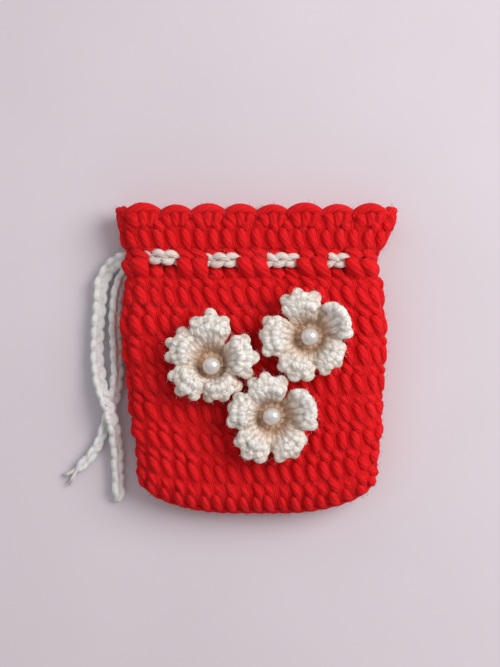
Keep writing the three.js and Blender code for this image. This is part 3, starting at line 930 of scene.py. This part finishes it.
def free_tail(name, points, roll, bare, tip, seed):
    """One free tail of chain stitches with loose plies at its end; a slim end lies lower."""
    line = spaced(smooth_route(points, 6), TAIL_POINTS)
    sink = 0.6 + 3 * (1 - tip)
    line[:, 2] += TAIL_LIFT - sink * ease(np.arange(TAIL_POINTS), 70, TAIL_POINTS - 1)
    angle = np.radians(np.linspace(*roll, TAIL_POINTS))
    facing = np.column_stack([np.sin(angle), np.zeros_like(angle), np.cos(angle)])
    worked = round(TAIL_POINTS * (1 - bare / route_length(line)))
    links = chain(name, line[:worked], facing[:worked], CREAM_CORD, seed, tip=tip)
    tail = soften(links, grain=0.32, passes=3)
    fuzz = fibres(tail, CREAM_CORD, TAIL_FUZZ, middle=(0, 0, -20), outward=(0, 0, 1), seed=seed + 50)
    join(tail, frayed_end(line[worked - 1], line[-1], seed), fuzz)
    move_corners(tail, on_table(corners_of(tail)))
    finish_piece(tail, "cream_cord", "drawstring")
    path = spaced(line, PATH_POINTS) * MILLIMETRE
    route_length(path)


def drawstring():
    """The woven chain and its two free tails."""
    both = smooth_route(np.column_stack(woven_route()), 4)
    woven = chain("drawstring_woven", both[:, :3], both[:, 3:], WOVEN_CORD, seed=11, size=(0.94, 0.94, 0.8))
    finish_with_fuzz(woven, "cream_cord", "drawstring", material=WOVEN_CORD, density=WOVEN_FUZZ,
                     middle=POUCH_MIDDLE, outward=POUCH_OUTWARD, seed=61)
    for name, facts in TAILS.items():
        free_tail(name, **facts)


def cup(radius, rise, crest):
    """Height of a petal over the flower's flat middle; its wall rises up to the crest and then curls out."""
    return rise * ease(radius, 4.6, crest) - 1.5 * ease(radius, crest + 1.5, crest + 6.5)


def petal(yarn, spot, chance, facts):
    """One petal: a cupped web, posts up its wall, two rows of stitches on its lip and knobs on its edge."""
    direction, reach, spread, rise, crest = facts
    length = reach - PETAL_INSET

    def on_petal(across, outward, lift, thick):
        edge = PETAL_SIDE + (length - PETAL_SIDE) * max(0, 1 - across ** 2) ** 0.4
        radius = PETAL_ROOT + (edge - PETAL_ROOT) * outward
        sides = 3 * abs(across) ** 3 * ease(radius, 6, 9) + 0.6 * ease(outward, 0.2, 0)
        height = cup(radius, rise, crest) - sides + lift
        return spot(direction + 0.9 * across * spread, radius, height, thick)

    web = [[on_petal(across, outward, -0.1, 0) for outward in np.linspace(-0.05, 0.98, 9)]
           for across in np.linspace(-1, 1, 11)]
    yarn.web(np.array(web)[:, :, :3], 1.4)
    for across in np.linspace(-0.82, 0.82, 5):
        post = []
        for outward in np.linspace(-0.03, 0.95, 8):
            lump = 0.12 * math.sin(17 * outward + 3 * across) + chance.uniform(-0.08, 0.08)
            sway = 0.05 * math.sin(9 * outward)
            post.append(on_petal(across + sway, outward, lump, 1.15 + 0.3 * outward + lump))
        yarn.strand(post, steps=3, rings=16, sides=8, start=across)
    lip = (crest - PETAL_ROOT) / (length - PETAL_ROOT)
    for row, places in ((0.3, (-0.5, 0.02, 0.52)), (0.78, (-0.66, -0.22, 0.24, 0.66))):
        outward = lip + (1.02 - lip) * row
        for across in places:
            across = across + chance.uniform(-0.07, 0.07)
            lift = chance.uniform(0.5, 1.5)
            for side in (-1, 1):
                leg = [on_petal(across + side * 0.22, outward - 0.12, 0.3, 0.9),
                       on_petal(across + side * 0.15, outward, lift, 1.5),
                       on_petal(across + side * 0.02, outward + 0.13, 0.5, 0.9)]
                yarn.strand(leg, steps=3, rings=8, sides=8, start=across)
    for across in (-0.62, 0.0, 0.62):
        across = across + chance.uniform(-0.1, 0.1)
        size = chance.uniform(1.0, 1.25)
        centre = np.array(on_petal(across, 0.98 + chance.uniform(-0.04, 0.1), 0.2, 0))[:3]
        tilt = chance.uniform(0, 6.28)
        stretch = chance.uniform(0.6, 1.1)
        knob = []
        for turn in np.linspace(0, 2 * math.pi + 0.6, 10):
            x, y = 0.9 * size * math.cos(turn + tilt), 0.9 * size * math.sin(turn + tilt)
            thick = (1.1 + 0.12 * math.sin(3 * turn)) * size
            knob.append((*(centre + (x, y, stretch * math.sin(turn))), thick))
        yarn.strand(knob, steps=3, rings=12, sides=8, start=across)


def flower(place, facts):
    """Crocheted flower: a domed middle of short strands, and five cupped petals edged with knobs."""
    hub, middle = np.array(facts["pearl"]), np.array(facts["middle"])
    chance = np.random.default_rng(len(place))
    yarn = Yarn()

    def spot(angle, radius, height, thick):
        a = math.radians(angle)
        x, y = blend(hub, middle, ease(radius, 4.2, 9)) + radius * np.array([math.cos(a), math.sin(a)])
        return (x, y, FLOWER_Z + 1.15 + height, thick)

    for angle in range(0, 360, 30):
        spoke = [spot(angle - 8, 0.9, 0.2, 0.9), spot(angle, 2.4, 0.7, 1.0),
                 spot(angle + 4, 3.6, 1.0, 1.0), spot(angle + 6, 4.1, -0.3, 0.9)]
        yarn.strand(spoke, steps=3, rings=9, sides=8, start=angle / 90)
    for petal_facts in facts["petals"]:
        petal(yarn, spot, chance, petal_facts)
    piece = soften(yarn.piece(f"flower_{place}_petals", CREAM_YARN), grain=0.34, passes=1)
    finish_with_fuzz(piece, "cream_yarn", f"flower_{place}", material=CREAM_YARN, density=FLOWER_FUZZ,
                     middle=(0, 0, 0), outward=(0, 0, 1), seed=51)


def pearl(place, facts):
    """Round bead with a small bore along X for its thread."""
    turns, around = 33, 40
    radius, bore = PEARL_DIAMETER / 2, PEARL_BORE / 2
    first = math.asin(bore / radius)
    arc = np.linspace(first, math.pi - first, turns)
    profile = [(radius * math.cos(angle), radius * math.sin(angle)) for angle in arc]
    profile += [(x, bore) for x in np.linspace(profile[-1][0], profile[0][0], 6)[1:-1]]
    middle_x, middle_y = facts["pearl"]
    corners = []
    for x, r in profile:
        for turn in np.arange(around) * 2 * math.pi / around:
            corners.append((middle_x + x, middle_y + r * math.cos(turn), PEARL_Z + r * math.sin(turn)))
    rings = len(profile)
    faces = []
    for i in range(rings):
        k = (i + 1) % rings
        for j in range(around):
            m = (j + 1) % around
            faces.append((i * around + j, k * around + j, k * around + m, i * around + m))
    finish_piece(new_piece(f"pearl_{place}_bead", corners, faces, None, PEARL), "pearl", f"pearl_{place}")


def camera_and_light():
    """The view from above, the lamps, the light of the room and the table."""
    camera = new_object("camera", bpy.data.cameras.new("camera"))
    camera.data.sensor_fit = "VERTICAL"
    camera.data.sensor_height = SENSOR
    camera.data.sensor_width = SENSOR
    camera.data.lens = SENSOR * VIEW_DISTANCE / VIEW_HEIGHT
    camera.location = Vector(CAMERA_PLACE) * MILLIMETRE
    scene.camera = camera
    for name, place, size, power, tone in LAMPS:
        lamp = new_object(name, bpy.data.lights.new(name, "AREA"))
        lamp.data.shape = "DISK"
        lamp.data.size = size
        lamp.data.energy = power
        lamp.data.color = tone
        lamp.location = place
        aim = Vector(LAMP_TARGET) - Vector(place)
        lamp.rotation_euler = aim.to_track_quat("-Z", "Y").to_euler()
    world = bpy.data.worlds.new("studio")
    scene.world = world
    world.use_nodes = True
    room = world.node_tree.nodes["Background"].inputs
    room["Color"].default_value = ROOM_TONE
    room["Strength"].default_value = ROOM_LIGHT
    scene.view_settings.view_transform = "Standard"

    corners = [(x * TABLE_HALF, y * TABLE_HALF, 0) for x, y in ((-1, -1), (1, -1), (1, 1), (-1, 1))]
    floor = new_piece("table", corners, [(0, 1, 2, 3)], material=floor_material())


camera_and_light()
drawstring()
plain_rounds("pouch_rounds", 0, BODY_ROUNDS, seed=21)
plain_rounds("upper_round", BODY_ROUNDS + 1, EDGE_ROUNDS, seed=22)
foundation()
cord_round()
shell_edge()
fabric_core("lower_core", 0.1, BODY_ROUNDS)
fabric_core("upper_core", BODY_ROUNDS + 1, EDGE_ROUNDS + 0.3)
for place, facts in FLOWERS.items():
    flower(place, facts)
    pearl(place, facts)

for name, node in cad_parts.items():
    if name.startswith("sewing_thread"):
        node.data.materials.clear()
        node.data.materials.append(THREAD)
